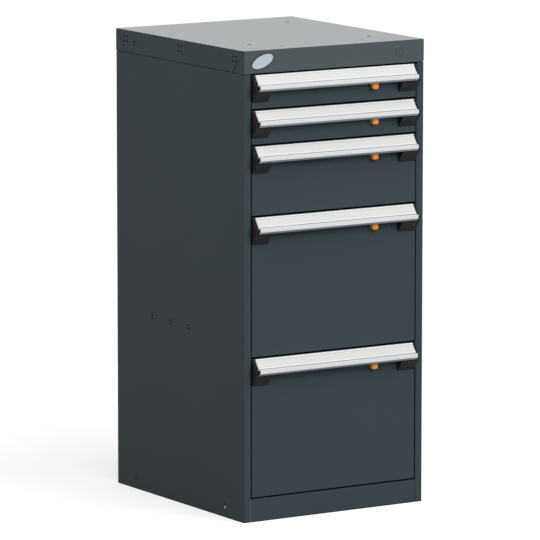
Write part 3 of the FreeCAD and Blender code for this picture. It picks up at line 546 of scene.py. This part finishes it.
class CABINET_OT_slide_parts(bpy.types.Operator):
    """Add the ball cages, the balls and the screws of the slides"""
    bl_idname = "cabinet.slide_parts"
    bl_label = "Add slide parts"

    def execute(self, context):
        sizes = context.scene.cabinet_slides
        balls = Finish("bearing_steel", Metallic=1.0)
        stain = balls.noise(300.0)
        dull, bright = (0.70, 0.71, 0.73, 1.0), (0.80, 0.81, 0.83, 1.0)
        balls.feed("Base Color", balls.blend(stain, dull, bright))
        balls.feed("Roughness", balls.between(stain, 0.10, 0.18))
        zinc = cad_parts["slide_middle_1"].data.materials[0]
        for number in DRAWERS:
            self.add_bearings(number, sizes, zinc, balls.material)
            self.add_screws(f"drawer_screws_{number}", f"slide_inner_{number}",
                            f"drawer_{number}", sizes.inner_web, sizes, zinc)
            self.add_screws(f"upright_screws_{number}", f"slide_outer_{number}",
                            "housing", sizes.sheet, sizes, zinc)
        return {"FINISHED"}

    @staticmethod
    def add_bearings(number, sizes, zinc, bright):
        """Cages and balls between a middle member's web and the outer member, on both sides."""
        low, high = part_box(f"slide_middle_{number}")
        centre = (low.z + high.z) / 2
        race = (high.z - low.z) / 2 - sizes.sheet - sizes.ball_radius
        cage, balls = Part(f"ball_cages_{number}"), Part(f"bearing_balls_{number}")
        start, end = low.y + sizes.cage_margin, high.y - sizes.cage_margin
        arc = [math.pi * step / BALL_RINGS for step in range(BALL_RINGS + 1)]
        ball = [(sizes.ball_radius * math.sin(angle) if 0 < step < BALL_RINGS else 0,
                 -sizes.ball_radius * math.cos(angle)) for step, angle in enumerate(arc)]
        count = int((end - start) / sizes.ball_pitch)
        inner = race - sizes.cage_sheet
        for side in (-1, 1):
            web = side * (high.x - sizes.middle_web)
            lip = web + side * (sizes.middle_web - 2 * sizes.cage_sheet)
            ball_x = web + side * (sizes.ball_radius + sizes.ball_clearance)
            cage.box((web, start, centre - inner),
                     (web + side * sizes.cage_sheet, end, centre + inner))
            for up in (-1, 1):
                cage.box((web, start, centre + up * inner), (lip, end, centre + up * race))
                for step in range(count):
                    along = start + (step + 0.5) * (end - start) / count
                    spot = (ball_x, along, centre + up * race)
                    balls.turned(ball, spot, (side, 0, 0), BALL_SIDES)
        cage.finish(zinc, f"slide_carriage_{number}", "slide_steel")
        balls.finish(bright, f"slide_carriage_{number}", "slide_steel")

    @staticmethod
    def add_screws(name, member, body, web, sizes, zinc):
        """Pan-head screws in the web of a slide member, on both sides."""
        low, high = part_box(member)
        head = [(share * sizes.screw_radius, rise * sizes.screw_height)
                for share, rise in SCREW_HEAD]
        screws = Part(name)
        for side in (-1, 1):
            for step in range(SCREWS_PER_MEMBER):
                share = SCREW_INSET + (1 - 2 * SCREW_INSET) * step / (SCREWS_PER_MEMBER - 1)
                along = low.y + share * (high.y - low.y)
                spot = (side * (high.x - web), along, (low.z + high.z) / 2)
                screws.turned(head, spot, (side, 0, 0), SCREW_SIDES)
        screws.finish(zinc, body, "slide_steel")


class CABINET_OT_stage(bpy.types.Operator):
    """Set the floor, the lamps, the surroundings and the camera"""
    bl_idname = "cabinet.stage"
    bl_label = "Set the stage"

    def execute(self, context):
        stage = context.scene.cabinet_stage
        self.add_floor(stage)
        self.add_surroundings(context.scene, stage)
        self.add_key_light(stage)
        front, side = (0, lid_low.y, LAMP_AIM_HEIGHT), (lid_low.x, 0, LAMP_AIM_HEIGHT)
        self.add_lamp("front_lamp", FRONT_LAMP_AT, front, stage.front_lamp)
        self.add_lamp("side_lamp", SIDE_LAMP_AT, side, stage.side_lamp)
        self.add_camera(context.scene, stage)
        context.scene.view_settings.view_transform = "Standard"
        return {"FINISHED"}

    @staticmethod
    def add_floor(stage):
        """A floor that is seen as white, under a soft shadow, and throws little light back."""
        half = FLOOR_HALF_WIDTH
        mesh = bpy.data.meshes.new("floor")
        corners = [(-half, -half, 0), (half, -half, 0), (half, half, 0), (-half, half, 0)]
        mesh.from_pydata(corners, [], [(0, 1, 2, 3)])
        floor = bpy.data.objects.new("floor", mesh)
        bpy.context.collection.objects.link(floor)
        finish = Finish("floor_paint", Roughness=1.0, Specular_IOR_Level=0.0,
                        Emission_Strength=stage.floor_lift)
        seen = finish.seen()
        spread_white, seen_white = shade(WHITE, stage.floor_bounce), shade(WHITE, stage.floor_seen)
        finish.feed("Base Color", finish.blend(seen, spread_white, seen_white))
        finish.feed("Emission Color", finish.blend(seen, shade(BLACK, 1.0), shade(WHITE, 1.0)))
        mesh.materials.append(finish.material)

    @staticmethod
    def add_surroundings(scene, stage):
        """White where it is seen or mirrored, and a weaker light from all round."""
        scene.world = bpy.data.worlds.new("surroundings")
        scene.world.use_nodes = True
        air = Nodes(scene.world.node_tree, "Background", Color=shade(WHITE, 1.0))
        air.feed("Strength", air.between(air.seen(), stage.sky, 1.0))

    def add_key_light(self, stage):
        sun = bpy.data.lights.new("key_light", "SUN")
        sun.energy = stage.key
        sun.angle = stage.key_softness
        self.hang(sun, KEY_LIGHT_AT, -Vector(stage.key_from))

    def add_lamp(self, name, place, target, power):
        lamp = bpy.data.lights.new(name, "AREA")
        lamp.shape = "SQUARE"
        lamp.size = LAMP_WIDTH
        lamp.energy = power
        self.hang(lamp, place, Vector(target) - Vector(place))

    @staticmethod
    def hang(light, place, direction):
        """Puts up a light that shines in a direction and shows in no reflection."""
        item = bpy.data.objects.new(light.name, light)
        item.location = place
        item.rotation_euler = direction.to_track_quat("-Z", "Y").to_euler()
        item.visible_glossy = False
        bpy.context.collection.objects.link(item)

    @staticmethod
    def add_camera(scene, stage):
        data = bpy.data.cameras.new("photo_camera")
        data.sensor_width = SENSOR_WIDTH
        data.lens = stage.lens
        data.clip_end = FARTHEST_SEEN
        camera = bpy.data.objects.new("photo_camera", data)
        under_lid = Vector((0, (lid_low.y + lid_high.y) / 2, 0))
        camera.location = under_lid + Vector(stage.position)
        flat = math.cos(stage.elevation)
        sight = Vector((-math.sin(stage.azimuth) * flat, math.cos(stage.azimuth) * flat,
                        -math.sin(stage.elevation)))
        level = sight.to_track_quat("-Z", "Y").to_matrix()
        camera.rotation_euler = (level @ Matrix.Rotation(stage.roll, 3, "Z")).to_euler()
        bpy.context.collection.objects.link(camera)
        scene.camera = camera


class CABINET_PT_panel(bpy.types.Panel):
    """Sidebar panel with the cabinet's steps"""
    bl_idname = "CABINET_PT_panel"
    bl_label = "Modular drawer cabinet"
    bl_space_type = "VIEW_3D"
    bl_region_type = "UI"
    bl_category = "Cabinet"

    def draw(self, context):
        for step in STEPS:
            self.layout.operator(step.bl_idname)
        for group in GROUPS:
            values = getattr(context.scene, group)
            for name in values.__annotations__:
                self.layout.prop(values, name)


GROUPS = {
    "cabinet_paint": CabinetPaint,
    "cabinet_trim": CabinetTrim,
    "cabinet_slides": CabinetSlides,
    "cabinet_stage": CabinetStage,
}
STEPS = (
    CABINET_OT_housing,
    CABINET_OT_handles,
    CABINET_OT_latches,
    CABINET_OT_steelwork,
    CABINET_OT_slide_parts,
    CABINET_OT_stage,
)
CLASSES = (*GROUPS.values(), *STEPS, CABINET_PT_panel)


def register():
    for item in CLASSES:
        bpy.utils.register_class(item)
    for name, group in GROUPS.items():
        setattr(bpy.types.Scene, name, bpy.props.PointerProperty(type=group))


def unregister():
    for name in GROUPS:
        delattr(bpy.types.Scene, name)
    for item in reversed(CLASSES):
        bpy.utils.unregister_class(item)


def main():
    register()
    for step in STEPS:
        area, name = step.bl_idname.split(".")
        getattr(getattr(bpy.ops, area), name)()


if __name__ == "__main__":
    main()
